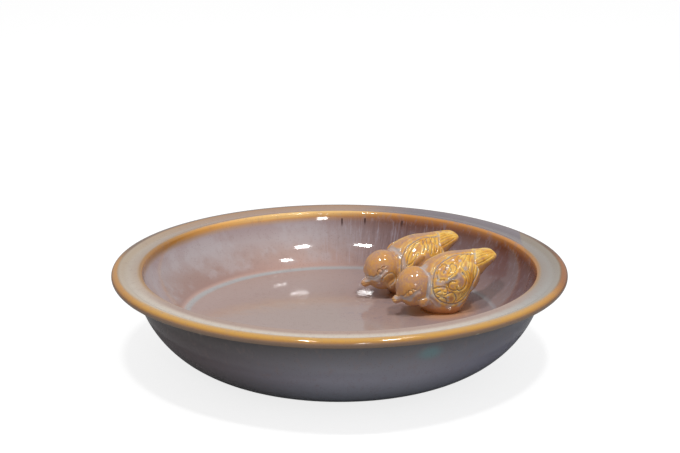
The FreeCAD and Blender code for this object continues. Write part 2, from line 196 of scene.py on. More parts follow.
def new_material(name):
    """Material with one Principled BSDF, and its tree."""
    material = bpy.data.materials.new(name)
    material.use_nodes = True
    return material, material.node_tree, material.node_tree.nodes["Principled BSDF"]


def finish_glaze(tree, shader, colour, roughness, height, depth, index=1.5):
    """Link a glaze's colour, roughness and bump to its shader."""
    tree.links.new(colour, shader.inputs["Base Color"])
    tree.links.new(roughness, shader.inputs["Roughness"])
    bump = add_node(tree, "Bump", {"Height": height, "Strength": 1.0, "Distance": depth})
    tree.links.new(bump.outputs["Normal"], shader.inputs["Normal"])
    shader.inputs["IOR"].default_value = index


# ---------------------------------------------------------------- basin

def arc_centre(start, end, radius, turn):
    """Centre of the arc of a radius from start to end; turn is 1 anticlockwise, -1 clockwise."""
    chord = end - start
    middle = (start + end) / 2
    reach = math.sqrt(max(radius ** 2 - (chord.length / 2) ** 2, 0))
    return middle + turn * reach * Vector((-chord.y, chord.x)).normalized()


def circles_meet(first, first_radius, second, second_radius):
    """The two points where two circles of the section meet."""
    gap = second - first
    along = (gap.length_squared + first_radius ** 2 - second_radius ** 2) / (2 * gap.length)
    across = math.sqrt(first_radius ** 2 - along ** 2)
    axis = gap.normalized()
    side = Vector((-axis.y, axis.x)) * across
    return first + axis * along + side, first + axis * along - side


class Section:
    """Half section of the basin, drawn as a chain of vertices with the distance along it."""

    def __init__(self, start):
        self.bm = bmesh.new()
        self.way = self.bm.verts.layers.float.new("way")
        self.last = self.bm.verts.new((start.x, 0, start.y))
        self.stations = {}
        self.count = 1

    def here(self):
        """Where the chain has come to."""
        return Vector((self.last.co.x, self.last.co.z))

    def mark(self, name):
        """Name this place, for the glaze's zones."""
        self.stations[name] = self.count - 1

    def line(self, end, steps):
        """Straight run to a point, in equal steps."""
        step = (end - self.here()) / steps
        for _ in range(steps):
            made = bmesh.ops.extrude_vert_indiv(self.bm, verts=[self.last])["verts"][0]
            made.co += Vector((step.x, 0, step.y))
            self.last = made
            self.count += 1

    def arc(self, end, radius, turn, step=2.0 * MM):
        """Arc to a point, in steps of about one length."""
        centre = arc_centre(self.here(), end, radius, turn)
        first = self.here() - centre
        second = end - centre
        angle = turn * math.atan2(first.x * second.y - first.y * second.x, first.dot(second))
        angle = angle % (2 * math.pi)
        steps = max(3, round(angle * radius / step))
        swept = bmesh.ops.spin(
            self.bm, geom=[self.last], cent=(centre.x, 0, centre.y), axis=(0, -1, 0),
            angle=turn * angle, steps=steps, use_merge=False, use_duplicate=False,
        )
        self.last = [part for part in swept["geom_last"] if isinstance(part, bmesh.types.BMVert)][0]
        self.count += steps

    def measure(self):
        """Write the distance along the section on its vertices, and return the stations'."""
        self.bm.verts.ensure_lookup_table()
        total = 0.0
        before = self.bm.verts[0]
        reached = []
        for vertex in self.bm.verts:
            total += (vertex.co - before.co).length
            vertex[self.way] = total
            reached.append(total)
            before = vertex
        return {name: reached[index] for name, index in self.stations.items()}


def draw_section():
    """Section from the middle of the floor over the rim, down to the foot and round the cavity."""
    def at(radius, height):
        return Vector((radius * MM, height * MM))

    dish_centre = Vector((0, FLOOR_HEIGHT + FLOOR_DISH))
    wall_top = at(142.5, 69.0)
    wall = 54 * MM
    wall_centre = arc_centre(wall_top, at(113.2, 33.46), wall, -1)
    corner = 9 * MM
    meeting = circles_meet(dish_centre, FLOOR_DISH - corner, wall_centre, wall - corner)
    corner_centre = max(meeting, key=lambda place: place.x)
    floor_end = dish_centre + (corner_centre - dish_centre).normalized() * FLOOR_DISH
    wall_foot = wall_centre + (corner_centre - wall_centre).normalized() * wall

    section = Section(Vector((0, FLOOR_HEIGHT)))
    section.arc(floor_end, FLOOR_DISH, 1, 4 * MM)
    section.mark("floor_end")
    section.arc(wall_foot, corner, 1, 1 * MM)
    section.mark("wall_foot")
    section.arc(wall_top, wall, 1)
    section.mark("wall_top")
    section.arc(at(145.2, 71.2), 2.4 * MM, -1, 0.4 * MM)
    section.mark("ridge_out")
    section.arc(at(154.6, 69.9), 24 * MM, 1, 1 * MM)
    section.mark("flange_out")
    lip_over = Vector((RIM_RADIUS - LIP_ROLL, LIP_HEIGHT + LIP_ROLL))
    lip_under = Vector((RIM_RADIUS - LIP_ROLL, LIP_HEIGHT - LIP_ROLL))
    section.arc(lip_over, 13 * MM, -1, 0.8 * MM)
    section.mark("lip_top")
    section.arc(lip_under, LIP_ROLL, -1, 0.5 * MM)
    section.mark("lip_low")

    # The outer wall meets the underside of the flange in a small concave round.
    outer = 76 * MM
    outer_centre = at(73.4, 75.2)
    root = 4 * MM
    slope = (at(148.35, 62.6) - lip_under).normalized()
    normal = Vector((slope.y, -slope.x))
    normal = normal if normal.y < 0 else -normal
    line_at = lip_under + normal * root
    reach = outer_centre - line_at
    along = reach.dot(slope)
    across = (reach - slope * along).length
    root_centre = line_at + slope * (along - math.sqrt((outer + root) ** 2 - across ** 2))
    section.line(root_centre - normal * root, 8)
    section.mark("root_out")
    section.arc(outer_centre + (root_centre - outer_centre).normalized() * outer, root, 1, 0.8 * MM)
    section.mark("root_in")
    section.arc(at(84.4, 0), outer, -1, 2 * MM)
    section.mark("foot_out")

    # The foot ring, the recess inside it, the casting hole and the hollow between the walls.
    section.line(at(72, 0), 6)
    section.line(at(70, 2.5), 2)
    section.mark("foot_in")
    section.line(at(3.5, 2.5), 8)
    section.line(at(3.5, 8.5), 3)
    section.line(at(94.64, 8.5), 8)
    section.arc(at(135.55, 43.0), 70 * MM, 1, 5 * MM)
    section.arc(at(112.9, 27.5), 60 * MM, -1, 4 * MM)
    section.arc(Vector((0, FLOOR_HEIGHT - SHELL)), FLOOR_DISH + SHELL, -1, 12 * MM)
    return section


def object_from(bm, name):
    """Object at the origin from a bmesh, smooth, with its place in its mesh."""
    mesh = bpy.data.meshes.new(name)
    bm.to_mesh(mesh)
    bm.free()
    for face in mesh.polygons:
        face.use_smooth = True
    piece = bpy.data.objects.new(name, mesh)
    bpy.context.scene.collection.objects.link(piece)
    return piece


def make_basin():
    """Basin turned from its section."""
    section = draw_section()
    stations = section.measure()
    bm = section.bm
    bmesh.ops.spin(bm, geom=bm.verts[:] + bm.edges[:], cent=(0, 0, 0), axis=(0, 0, 1),
                   angle=2 * math.pi, steps=288, use_merge=True, use_duplicate=False)
    bmesh.ops.remove_doubles(bm, verts=bm.verts[:], dist=0.01 * MM)
    bmesh.ops.recalc_face_normals(bm, faces=bm.faces[:])
    return object_from(bm, "glazed_basin"), stations


basin, WAY = make_basin()


class BasinSurface:
    """Where each point of the basin is, with masks along its section and round its axis."""

    def __init__(self, tree):
        self.tree = tree
        self.place = add_node(tree, "TexCoord").outputs["Object"]
        axes = add_node(tree, "SeparateXYZ", {"Vector": self.place}).outputs
        self.x, self.y, self.z = axes["X"], axes["Y"], axes["Z"]
        squares = [calc(tree, "POWER", axis, 2.0) for axis in (self.x, self.y)]
        self.radius = calc(tree, "SQRT", calc(tree, "ADD", *squares))
        self.angle = calc(tree, "ARCTAN2", self.y, self.x)
        off_axis = calc(tree, "MAXIMUM", self.radius, 1 * MM)
        self.sine = calc(tree, "DIVIDE", self.y, off_axis)
        self.cosine = calc(tree, "DIVIDE", self.x, off_axis)

        # The zones' edges wander a little round the basin.
        wander = noise(tree, stretched(tree, self.place, (22, 22, 4)), 1.0, 3.0)
        wander = product(tree, calc(tree, "SUBTRACT", wander, 0.5), 1.6 * MM)
        way = add_node(tree, "Attribute", attribute_name="way").outputs["Fac"]
        self.way = calc(tree, "ADD", way, wander)

    def along(self, start, end):
        """Mask that runs from 0 at one (station, offset in mm) of the section to 1 at another."""
        first, last = (WAY[name] + offset * MM for name, offset in (start, end))
        return fade(self.tree, self.way, first, last)

    def near_ends(self, start, end):
        """Mask of the basin's left and right ends, between two cosines of the angle round it."""
        return fade(self.tree, calc(self.tree, "ABSOLUTE", self.cosine), start, end)

    def sector(self, start, end, soft_start, soft_end):
        """Mask of the part between two angles, in degrees, each with its own soft edge."""
        rise = fade(self.tree, self.angle, math.radians(start), math.radians(start + soft_start))
        drop = fade(self.tree, self.angle, math.radians(end), math.radians(end - soft_end))
        return product(self.tree, rise, drop)


def round_patch(tree, place, centre, inner, outer):
    """Mask that is 1 within the inner distance of a centre and 0 past the outer one."""
    inputs = {0: place, 1: centre}
    reach = add_node(tree, "VectorMath", inputs, operation="DISTANCE").outputs["Value"]
    return fade(tree, reach, outer, inner)


def glaze_zones(tree, way, colours):
    """Colour of the glaze along the section, from (station, offset in mm, colour) stops."""
    total = WAY["foot_in"]
    stops = [((WAY[name] + offset * MM) / total, colour) for name, offset, colour in colours]
    return ramp(tree, calc(tree, "DIVIDE", way, total), stops)


CLAY = srgb(196, 172, 142)

# One dip of glaze: mauve inside, cream on the flange, amber where it thins on the two rolls; on the
# outer wall it also carries painted shade, a dark band under the flange and darkening towards the
# foot.
SINGLE_DIP_AND_SHADE = (
    ("floor_end", -111, srgb(163, 145, 139)),
    ("floor_end", -30, srgb(168, 148, 142)),
    ("floor_end", -1.6, srgb(170, 148, 141)),
    ("floor_end", 0.5, srgb(166, 166, 166)),
    ("wall_foot", -1.2, srgb(168, 169, 170)),
    ("wall_foot", 1.0, srgb(184, 150, 139)),
    ("wall_foot", 16, srgb(180, 154, 146)),
    ("wall_top", -16, srgb(180, 165, 165)),
    ("wall_top", -5.5, srgb(168, 149, 150)),
    ("wall_top", -2.4, srgb(188, 150, 118)),
    ("wall_top", -0.8, srgb(222, 158, 76)),
    ("ridge_out", -2.0, srgb(228, 164, 80)),
    ("ridge_out", -0.2, srgb(206, 166, 118)),
    ("ridge_out", 1.4, srgb(194, 176, 160)),
    ("flange_out", -2.0, srgb(200, 190, 178)),
    ("lip_top", -3.8, srgb(196, 180, 160)),
    ("lip_top", -1.8, srgb(212, 166, 98)),
    ("lip_top", 3.0, srgb(214, 160, 72)),
    ("lip_low", -6.6, srgb(194, 140, 76)),
    ("lip_low", -5.6, srgb(166, 132, 106)),
    ("lip_low", -1.0, srgb(158, 138, 120)),
    # Painted shadow: the dark band round the root, under the flange.
    ("root_out", -8.0, srgb(118, 114, 112)),
    ("root_in", 2.0, srgb(112, 110, 114)),
    ("root_in", 30, srgb(168, 166, 180)),
    # Painted shade: the outer wall darkens towards the foot, where it turns under.
    ("foot_out", -34, srgb(154, 158, 173)),
    ("foot_out", -14, srgb(106, 116, 128)),
    ("foot_out", -2.4, srgb(84, 96, 108)),
    ("foot_out", -0.6, CLAY),
    ("foot_in", 0.0, CLAY),
)

# Where the basin was dipped twice the glaze is thicker, darker and more broken.
DOUBLE_DIP = (
    ("floor_end", -111, srgb(163, 143, 138)),
    ("floor_end", -20, srgb(160, 138, 134)),
    ("floor_end", -0.8, srgb(150, 132, 130)),
    ("wall_foot", -1.0, srgb(146, 140, 142)),
    ("wall_foot", 2.0, srgb(136, 110, 106)),
    ("wall_foot", 20, srgb(122, 96, 96)),
    ("wall_top", -12, srgb(116, 86, 84)),
    ("wall_top", -5.0, srgb(108, 62, 42)),
    ("wall_top", -2.2, srgb(140, 80, 36)),
    ("ridge_out", -2.2, srgb(206, 138, 62)),
    ("ridge_out", 0.0, srgb(166, 120, 82)),
    ("ridge_out", 1.8, srgb(136, 122, 120)),
    ("flange_out", -1.0, srgb(127, 119, 122)),
    ("lip_top", -2.0, srgb(128, 120, 126)),
    ("lip_top", 1.6, srgb(120, 96, 82)),
    ("lip_low", -4.0, srgb(108, 90, 82)),
    ("root_out", 0.0, srgb(126, 122, 128)),
    ("foot_out", -2.4, srgb(96, 106, 116)),
    ("foot_out", -0.6, CLAY),
    ("foot_in", 0.0, CLAY),
)

# Dark runs of iron under the ridge: degrees round the basin, top and bottom in mm, half width.
IRON_RUNS = ((89.2, 66.5, 59.0, 0.45), (81.8, 67.0, 60.5, 0.55), (69.6, 67.0, 60.5, 0.55))

# How far the glaze has run amber round each bird's foot, in mm.
HALOS = {"front_bird": 15.0, "rear_bird": 9.0}

# Pale flaws on the lip: across and away, in mm.
LIP_FLAWS = ((-92, -134.6), (91, -135.5))
LIP_FLAW_HEIGHT = 65.5


def tint_flange(tree, spot, colour):
    """Flange cream in front, brown-grey on the left, mauve at the back and grey on the right; the
    darkening away from the front is partly glaze tone and partly painted shade.
    """
    on_flange = product(tree, spot.along(("ridge_out", -1.0), ("ridge_out", 1.5)),
                        spot.along(("lip_top", -0.4), ("lip_top", -3.0)))

    # At the two ends the cream of the flange reaches further on to the lip.
    rim_ends = product(tree, spot.near_ends(0.75, 0.97),
                       spot.along(("lip_top", -5.5), ("lip_top", -4.0)),
                       spot.along(("lip_top", -0.2), ("lip_top", -1.8)))
    colour = mix(tree, rim_ends, colour, srgb(196, 182, 164))
    # Away from the front the flange is darkened, most at the back: partly its glaze tone, partly
    # painted shade.
    behind = product(tree, fade(tree, spot.sine, -0.75, 0.1), on_flange)
    colour = tinted(tree, behind, colour, (0.78, 0.72, 0.66))
    far = product(tree, fade(tree, spot.sine, 0.2, 1.0), on_flange)
    colour = tinted(tree, far, colour, (0.90, 0.78, 0.78))
    right = product(tree, fade(tree, spot.cosine, 0.45, 0.95), on_flange)
    return tinted(tree, right, colour, (0.66, 0.72, 0.80))


def tint_ridge(tree, spot, colour):
    """Ridge dull at the two ends, with a painted highlight along its crest at the back, and hidden
    in mauve in front.
    """
    on_ridge = product(tree, spot.along(("wall_top", -6.0), ("wall_top", -1.0)),
                       spot.along(("ridge_out", 1.5), ("ridge_out", -1.0)))
    sides = product(tree, spot.near_ends(0.6, 0.97), on_ridge)
    colour = tinted(tree, sides, colour, (0.51, 0.47, 0.38))
    # Painted highlight: pale amber along the crest of the ridge at the back.
    ridge_crest_highlight = product(tree, fade(tree, spot.sine, 0.7, 0.97), on_ridge,
                        spot.along(("wall_top", -1.6), ("wall_top", 0.0)), 0.8)
    colour = mix(tree, ridge_crest_highlight, colour, srgb(242, 200, 130))
    front = product(tree, fade(tree, spot.sine, -0.25, -0.7),
                    spot.along(("ridge_out", 6.0), ("ridge_out", 2.0)),
                    spot.along(("wall_top", -8.0), ("wall_top", 0.0)))
    return mix(tree, front, colour, srgb(166, 144, 134))


def tint_lip(tree, spot, colour):
    """Lip dull along its crest at the back, and browner at the two ends."""
    on_lip = product(tree, spot.along(("lip_top", -3.0), ("lip_top", -1.0)),
                     spot.along(("lip_low", 2.0), ("lip_low", -2.0)))
    dull = product(tree, fade(tree, spot.sine, 0.0, 0.3), on_lip,
                   spot.along(("lip_top", 5.6), ("lip_top", 3.4)))
    colour = mix(tree, dull, colour, srgb(136, 118, 110))
    ends = product(tree, spot.near_ends(0.7, 1.0), on_lip)
    colour = tinted(tree, ends, colour, (0.75, 0.62, 0.46))
    right_end = product(tree, fade(tree, spot.cosine, 0.90, 0.99), on_lip)
    colour = tinted(tree, right_end, colour, (0.62, 0.42, 0.22))
    front_lip = product(tree, fade(tree, spot.sine, -0.3, -0.8), on_lip)
    return tinted(tree, front_lip, colour, (0.84, 0.84, 0.84))


def tint_walls(tree, spot, colour):
    """Inner wall deeper on the left; outer wall darker and browner on the left, partly its glaze
    and partly painted shade, cooler on the right.
    """
    left_wall = product(tree, fade(tree, spot.cosine, -0.2, -0.9),
                        spot.along(("wall_top", 0.0), ("wall_foot", 3.0)),
                        spot.along(("wall_foot", 0.0), ("wall_foot", 4.0)))
    colour = tinted(tree, left_wall, colour, (0.70, 0.66, 0.66))
    outside = spot.along(("lip_low", -3.0), ("lip_low", 2.0))
    # The outer wall on the left is darkened and browned: partly its glaze tone, partly painted
    # shade.
    left_out_tone_and_shade = product(tree, fade(tree, spot.cosine, 0.1, -0.8), outside)
    colour = tinted(tree, left_out_tone_and_shade, colour, (0.50, 0.42, 0.38))
    right_out = product(tree, fade(tree, spot.cosine, 0.3, 0.9), outside)
    return tinted(tree, right_out, colour, (0.74, 0.76, 0.84))


def break_up(tree, spot, single, double, cloud, mottle):
    """Both dips broken by upright runs of glaze, by clouds on the wall and by fine mottling."""
    turned = add_node(tree, "CombineXYZ", {"X": product(tree, spot.angle, 60.0),
                                           "Y": product(tree, spot.z, 45.0)})
    streak = noise(tree, turned.outputs["Vector"], 1.0, 3.0, 0.65)
    inside = product(tree, spot.along(("wall_foot", 0.0), ("wall_foot", 8.0)),
                     spot.along(("wall_top", 0.0), ("wall_top", -6.0)),
                     spot.sector(46, 108, 14, 20))
    pale_run = product(tree, fade(tree, streak, 0.52, 0.68), inside)
    dark_run = product(tree, fade(tree, streak, 0.48, 0.34), inside)
    single = mix(tree, product(tree, pale_run, 0.18), single, srgb(178, 174, 182))
    single = mix(tree, product(tree, dark_run, 0.14), single, srgb(158, 134, 136))

    pale_cloud = product(tree, fade(tree, cloud, 0.40, 0.62),
                         spot.along(("wall_top", -2.0), ("wall_top", -8.0)), 0.4,
                         spot.along(("wall_foot", 2.0), ("wall_foot", 9.0)))
    single = mix(tree, pale_cloud, single, srgb(186, 180, 184))

    pale_spots = product(tree, fade(tree, mottle, 0.5, 0.72), 0.5)
    double = mix(tree, pale_spots, double, srgb(140, 126, 134))
    dark_spots = product(tree, fade(tree, mottle, 0.5, 0.3), 0.22)
    single = mix(tree, dark_spots, single, srgb(150, 124, 118))
    double = mix(tree, product(tree, pale_run, 0.55), double, srgb(150, 140, 150))
    double = mix(tree, product(tree, dark_run, 0.55), double, srgb(94, 66, 64))
    return single, double


def dipped_twice(tree, spot):
    """Mask of the second dip: it ends in a straight line on the flange, and softly inside."""
    quarter = product(tree, fade(tree, spot.x, 138.3 * MM, 137.0 * MM),
                      spot.sector(10, 88, 1.5, 22))
    dipped_wall = spot.sector(-42, 108, 34, 42)
    above_ridge = spot.along(("wall_top", 0.0), ("ridge_out", 0.5))
    dipped = add_node(tree, "Mix", {0: above_ridge, 2: dipped_wall, 3: quarter}).outputs[0]
    return product(tree, dipped, spot.along(("lip_low", 0.0), ("lip_top", 2.0)))


def iron_run(tree, spot, turn, top, bottom, half_width):
    """Mask of one dark run of iron under the ridge."""
    aside = calc(tree, "ABSOLUTE", calc(tree, "SUBTRACT", spot.angle, math.radians(turn)))
    arc = product(tree, aside, spot.radius)
    return product(tree, fade(tree, arc, 2.2 * half_width * MM, 0.4 * half_width * MM),
                   fade(tree, spot.z, bottom * MM, (bottom + 4) * MM),
                   fade(tree, spot.z, top * MM, (top - 1) * MM),
                   fade(tree, spot.radius, 145 * MM, 143 * MM))


def halo_round(tree, place, node, spread):
    """Mask of the glaze that has run amber round a bird's foot."""
    low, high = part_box(node + "_bond")
    centre = tuple((first + last) / 2 for first, last in zip(low, high))
    reach = (high[0] - low[0]) / 2
    return round_patch(tree, place, centre, reach, reach + spread * MM)


def make_basin_glaze():
    """Reactive glaze of the basin, bare buff clay where it stands and inside its hollow."""
    material, tree, shader = new_material("reactive_basin_glaze")
    spot = BasinSurface(tree)
    skin = use_group(tree, SKIN, Swell=11.0, Peel=1.0)
    speckle = use_group(tree, SPECKLE, Spacing=1.3, Share=0.28)["Mask"]
    mottle = noise(tree, stretched(tree, spot.place, (1, 1, 0.5)), 1 / (4.5 * MM), 4.0, 0.7)

    single = glaze_zones(tree, spot.way, SINGLE_DIP_AND_SHADE)
    double = glaze_zones(tree, spot.way, DOUBLE_DIP)
    for tint in (tint_flange, tint_ridge, tint_lip, tint_walls):
        single = tint(tree, spot, single)
    single, double = break_up(tree, spot, single, double, skin["Cloud"], mottle)
    colour = mix(tree, dipped_twice(tree, spot), single, double)

    for run in IRON_RUNS:
        colour = mix(tree, iron_run(tree, spot, *run), colour, srgb(60, 26, 20))
    for node, spread in HALOS.items():
        halo = product(tree, halo_round(tree, spot.place, node, spread), 0.75)
        colour = mix(tree, halo, colour, srgb(212, 158, 112))

    # A blue-green bloom under the lip, and two pale flaws on it.
    flattened = stretched(tree, spot.place, (1, 1, 1.7))
    bloom = round_patch(tree, flattened, (60 * MM, -131 * MM, 88 * MM), 2 * MM, 13 * MM)
    colour = mix(tree, product(tree, bloom, 0.55), colour, srgb(112, 160, 164))
    for across, away in LIP_FLAWS:
        centre = (across * MM, away * MM, LIP_FLAW_HEIGHT * MM)
        flaw = product(tree, round_patch(tree, spot.place, centre, 0.4 * MM, 2.6 * MM),
                       fade(tree, mottle, 0.42, 0.56), 0.7)
        colour = mix(tree, flaw, colour, srgb(204, 196, 176))
    colour = mix(tree, product(tree, speckle, 0.25), colour, srgb(96, 66, 60))

    # The floor is a little less glossy than the wall.
    on_floor = spot.along(("floor_end", -2.0), ("floor_end", -7.0))
    roughness = calc(tree, "MULTIPLY_ADD", skin["Cloud"], 0.05, 0.03)
    roughness = calc(tree, "MULTIPLY_ADD", on_floor, 0.04, roughness)
    finish_glaze(tree, shader, colour, roughness, skin["Height"], 0.08 * MM, 1.62)
    return material


basin.data.materials.append(make_basin_glaze())
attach(basin, "root")
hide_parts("basin")


# ---------------------------------------------------------------- birds

# Spacing of the samples on a carved line, and how far a line's cut and its bright edges reach.
LINE_SPACING = 0.5 * MM
LINE_REACH = 4.8 * MM
BREAK_REACH = 4.2 * MM

# A round eye stands in a socket, with a lid cut round it.
EYE_RADIUS = 1.8 * MM
EYE_RISE = 0.8 * MM
LID_RADIUS = 2.2 * MM
LID_WIDTH = 0.7 * MM
LID_DEPTH = 0.5 * MM
LID_END = 3.0 * MM
SOCKET_RADIUS = 3.6 * MM

# The casting has a rough eye of its own here, which is smoothed away before the eye is carved.
ROUGH_EYE = Vector((33.2, 10.9, 18.6)) * MM
ROUGH_EYE_REACH = 4 * MM

BIRD_SKIN = 0.37 * MM
BOND_SKIN = 0.25 * MM
DOUBLES = 0.002 * MM

# Lines of carving on a bird's left side, mirrored on its right: millimetres ahead of its middle,
# out from its midline and up from the floor.
WING_EDGE = ((-20, 6, 42), (-8, 5, 42), (2, 7, 40.5), (9, 8.5, 37), (14.5, 11.5, 32),
             (17, 14.5, 24), (16, 16, 17), (11, 17.5, 11.5), (3, 19, 9), (-4, 19, 10.5),
             (-10, 18, 16), (-13.5, 19.5, 24), (-17, 17, 30), (-19, 15, 32.5))
FEATHER_LINES = (
    ((-3, 20, 13), (-8, 20, 19), (-10.5, 20, 25), (-11, 20, 30), (-10, 18.5, 34), (-14, 12, 38),
     (-19, 5, 42)),
    ((0, 20, 11), (-6.5, 19.5, 15.5), (-11.5, 19, 21), (-13.5, 19, 27), (-14.5, 18, 32),
     (-17, 13, 36)),
    ((-4, 20.5, 16), (-7.5, 21, 20), (-9, 21, 26), (-8, 20, 32), (-5.5, 16.5, 37),
     (-11, 10.5, 39.5), (-16, 5, 42)),
    ((-4, 11, 39), (-7, 8.5, 40.5), (-13, 4.5, 42)),
)
SCROLL_LINES = (
    ((13, 15, 28.5), (12.5, 12.5, 32), (10.5, 10.5, 35.5), (6.5, 10, 38), (4.5, 11, 37.5),
     (5.5, 13, 35), (8, 14.5, 32.5)),
    ((5.5, 17, 32.5), (3, 16, 34.5), (2, 12.7, 37), (-0.5, 12, 38), (-1.5, 16, 37), (0, 18, 34),
     (4, 20.5, 32), (8.5, 19.5, 29.5), (11.5, 16.5, 28)),
    ((-5, 20, 32.7), (-7, 21, 29), (-6.7, 22, 24.5), (-4.4, 22, 21), (-0.5, 21.6, 20), (1, 22, 23)),
    ((-0.5, 22, 20.5), (3.6, 22, 20.5), (6.6, 21, 22), (7.2, 21, 25), (4.7, 21, 27.3),
     (1.6, 21.6, 27)),
    ((16.5, 15.5, 21.5), (13, 17, 22.6), (9.3, 19.8, 22.8), (7.6, 20.7, 21), (7.5, 20.6, 18),
     (9.6, 20, 17), (12.3, 18, 16.5), (15, 16.8, 17.5)),
    ((14.5, 16.7, 18.6), (12, 19, 20), (9, 20.5, 19)),
    ((13.5, 17, 14.5), (11, 18, 15.2), (8, 19, 13.8), (7, 18.5, 10.5)),
    ((7, 20.5, 18), (4.5, 21.3, 19), (2, 21, 17.4), (0, 20, 13.7), (1.5, 19, 10)),
)
LEAF_LINES = (
    ((13, 16, 25), (10.8, 14.2, 31.2), (7, 12, 35.8), (1.2, 8.8, 39.8), (-4, 7.4, 41.1)),
    ((-6.4, 7.4, 41.2), (-3.3, 14.1, 38.3), (-0.2, 18.2, 34.1)),
    ((-9.5, 6.5, 41.4), (-7.5, 12, 39), (-4.5, 18, 35.5)),
    ((-12.8, 5.9, 41.6), (-12.2, 10.1, 39.3), (-8.7, 16.9, 37), (-6.5, 19.6, 32.9)),
    ((-16.3, 5.5, 41.6), (-16.7, 9, 39.6), (-14.4, 14.9, 36.8), (-11.5, 18.7, 33.6)),
    ((3.5, 16.5, 34), (8.5, 17.5, 30), (12, 17, 26)),
)
SHOULDER = ((15.5, 10, 32.5), (12.6, 6.5, 36.7), (7.6, 4.4, 40), (0.5, 3.4, 42))
TAIL_NECK = ((-23.5, 0, 42.7), (-21, 7, 40.5), (-18.8, 11.2, 37), (-18, 15.5, 33))
TAIL_LINES = (
    ((-20.4, 9.3, 38.6), (-28.4, 6.7, 39.5), (-37, 5.5, 39)),
    ((-23.6, 4.1, 41.9), (-30.3, 2.8, 42), (-37, 1.8, 41)),
    ((-22, 7, 40.5), (-29.5, 5, 41), (-37, 3.8, 40.2)),
    ((-19, 13, 35), (-27.5, 8.7, 35.5), (-34.5, 7.3, 38)),
)
BEAK_LINE = ((44, 1.3, 12), (39, 3, 12.3), (36, 6.4, 12.2))
HEADS = {
    "front_bird": {
        "cap": ((40.5, 0, 16.5), (38.2, 5, 15), (36.5, 8.4, 16.8), (35.3, 10.1, 19.7),
                (32.3, 12, 21.8), (29.4, 13, 21.7)),
        "face": ((40, 2, 13.8), (36, 7.8, 13.3), (32, 10.5, 15.5), (30, 12.9, 18.6),
                 (27, 13.5, 20.3)),
        "cheek": ((28, 12, 11), (26, 12.7, 13.5), (23, 13.6, 14.8), (19, 13.7, 14.2),
                  (17.5, 13, 12), (19.8, 12.6, 9.8), (24, 13.2, 8.2)),
        "nape": ((20.5, 1.2, 34.3), (18.5, 6.7, 32.4), (17.5, 10.8, 30), (18.5, 13, 25.3),
                 (19.3, 13.7, 20.6), (19.6, 13, 15.5), (16.5, 15.3, 12), (12.6, 16, 8)),
        "eye": (33.6, 12, 19.2),
    },
    "rear_bird": {
        "cap": ((40.3, 0, 17.2), (39.6, 2.8, 17.5), (37.4, 7.7, 17.7), (35.5, 9.9, 20),
                (35, 10, 23.4), (32.4, 11, 25.6), (29.7, 11.7, 26.3)),
        "face": ((40, 2, 15), (37, 7.6, 15.8), (34.5, 10.6, 18.5), (31.5, 12.5, 22), (29, 13, 24)),
        "cheek": ((31.5, 11.7, 14.5), (30.3, 12.9, 18.5), (26.2, 13.5, 21), (22.5, 13.3, 20),
                  (21, 13, 15), (25, 12, 11)),
        "nape": ((16, 1, 36.5), (15.5, 6, 35), (14.6, 11, 32), (14.5, 15, 26.2), (15.5, 15.9, 21),
                 (17, 15, 14), (14, 15.5, 9)),
        "eye": (33.3, 11.3, 22.6),
    },
}

# Places where the glaze pools pale between the carvings, some of them on the front bird's wing also
# painted highlight: millimetres as above, then the radius.
BODY_POOLS = (
    (12.6, 15.8, 8.6, 3.2), (5.3, 17.6, 7.4, 3.0), (-3.3, 17.9, 8.2, 3.0), (-13, 18.4, 19.6, 2.4),
    (-18.7, 11.7, 36.1, 1.8),
)
POOLS_AND_HIGHLIGHTS = {
    # On the front bird's wing some of these pale pools are painted highlight, set where the glaze
    # shows white highlights between the lobes.
    "front_bird": (
        (-4.6, 19.9, 31.9, 2.0), (-2.0, 20.1, 31.0, 2.2), (0.4, 20.4, 30.1, 2.6),
        (3.2, 20.8, 29.6, 2.4), (6.0, 21.1, 29.1, 2.2), (8.5, 19.5, 27.4, 2.2),
        (10.5, 18.0, 26.2, 2.4), (3.3, 12.3, 36.7, 1.7), (5.0, 13.3, 35.0, 1.6),
        (7.0, 14.6, 33.1, 1.8), (12.6, 15.1, 28.2, 1.7), (13.0, 16.1, 25.3, 2.0),
        (7.2, 20.5, 18.9, 1.5), (6.8, 19.7, 15.7, 1.5), (6.4, 19.0, 12.6, 1.5),
        (-6.6, 11.3, 38.7, 1.9), (-7.9, 18.5, 35.0, 2.3), (17.5, 0, 34.3, 4.5),
        (19.2, 13.7, 19.7, 3.0), (17.6, 14.8, 14.7, 3.4), (19.7, 12.4, 10.4, 3.4),
        (16.7, 11.1, 30.0, 1.8), (17.8, 12.7, 26.2, 2.0), (18.2, 13.6, 23.3, 2.4),
        (28.9, 13.2, 19.5, 1.8), (33.4, 10.0, 14.0, 3.2), (37.9, 5.2, 14.3, 2.6),
        (10.3, 18.9, 23.2, 2.4), (11.6, 17.5, 25.0, 2.0), (7.3, 20.9, 27.2, 2.0),
        (12.8, 13.7, 30.3, 2.2),
    ),
    "rear_bird": (
        (16.3, 0, 35.9, 3.4), (15.3, 5.7, 35.3, 3.2), (15.1, 10.2, 32.5, 3.0),
        (14.8, 13.5, 28.8, 3.0), (15.1, 15.3, 24.8, 3.2), (16.0, 15.2, 19.0, 3.2),
        (39.8, 1.6, 17.4, 2.4), (38.4, 5.8, 16.6, 2.6), (35.0, 9.9, 16.6, 3.6),
        (31.4, 12.4, 21.3, 2.0), (28.2, 13.0, 23.6, 1.7), (-13.6, 15.0, 36.2, 1.8),
    ),
}


